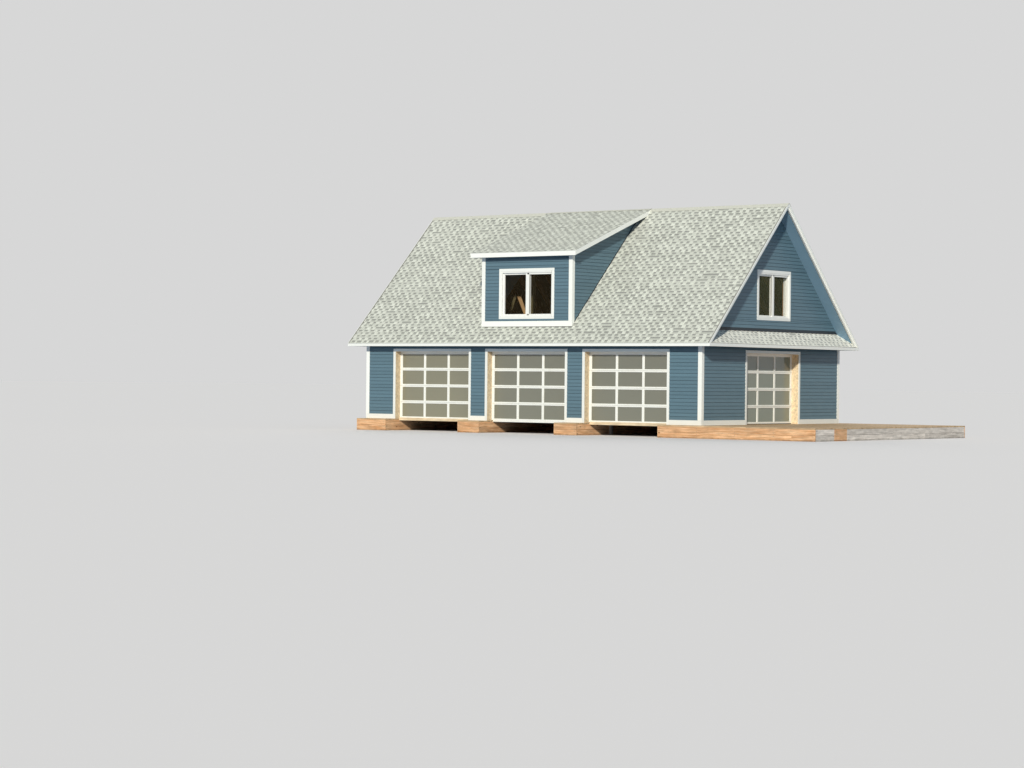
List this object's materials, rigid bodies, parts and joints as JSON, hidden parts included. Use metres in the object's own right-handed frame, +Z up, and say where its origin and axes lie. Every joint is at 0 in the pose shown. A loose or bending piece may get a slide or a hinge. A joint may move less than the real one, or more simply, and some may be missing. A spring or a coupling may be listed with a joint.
{
  "type": "boathouse",
  "caption": "Timber boathouse with a steep gabled roof, a front shed dormer, closed sectional doors over open boat slips, and a side dock on timber cribs.",
  "frame": {"origin": "centre of the footprint at the water line, where the cribs' undersides lie", "axes": "+X to the right along the front, towards the side dock; +Y from the door side to the back; +Z up"},
  "size_m": [17.842, 9.24, 7.2496],
  "materials": {
    "crib_timber": "raw new lumber boards, orange brown, wet and stained at the water line",
    "deck_timber": "raw sawn lumber",
    "old_timber": "weathered grey lumber",
    "jamb_timber": "unpainted sawn timber",
    "siding": "navy blue paint on horizontal lap siding",
    "soffit": "navy blue paint on boards",
    "white_trim": "warm white paint on boards",
    "shingles": "mineral granules on laminated asphalt shingles, light warm grey",
    "door_frame": "white powder coat",
    "obscured_glass": "obscured grey glazing",
    "window_frame": "white vinyl",
    "clear_glass": "clear glass with a dark room behind"
  },
  "bodies": {
    "root": {"finger_cribs": "crib_timber", "dock_crib": "crib_timber", "back_crib": "old_timber", "finger_decks": "deck_timber", "dock_deck": "deck_timber", "back_deck": "old_timber", "slip_post": "old_timber", "front_piers": "siding", "front_header": "siding", "right_wall_piers": "siding", "right_header": "siding", "left_wall": "siding", "back_wall": "siding", "right_gable_wall": "siding", "left_gable_wall": "siding", "loft_floor": "deck_timber", "roof_front_left": "shingles", "roof_front_right": "shingles", "roof_front_below": "shingles", "roof_back": "shingles", "ridge_cap": "shingles", "pent_roofs": "shingles", "dormer_front_wall": "siding", "dormer_cheeks": "siding", "dormer_roof": "shingles", "dormer_trim": "white_trim", "dormer_fascia": "white_trim", "dormer_soffit": "soffit", "front_doors": "door_frame", "side_door": "door_frame", "door_panes": "obscured_glass", "door_jambs": "jamb_timber", "door_casings": "white_trim", "door_sills": "crib_timber", "gable_windows": "window_frame", "gable_window_glass": "clear_glass", "dormer_window": "window_frame", "dormer_window_glass": "clear_glass", "corner_boards": "white_trim", "base_trim": "white_trim", "eave_fascias": "white_trim", "pent_fascias": "white_trim", "rake_boards": "white_trim", "eave_soffits": "soffit", "pent_soffits": "soffit"}
  },
  "joints": []
}
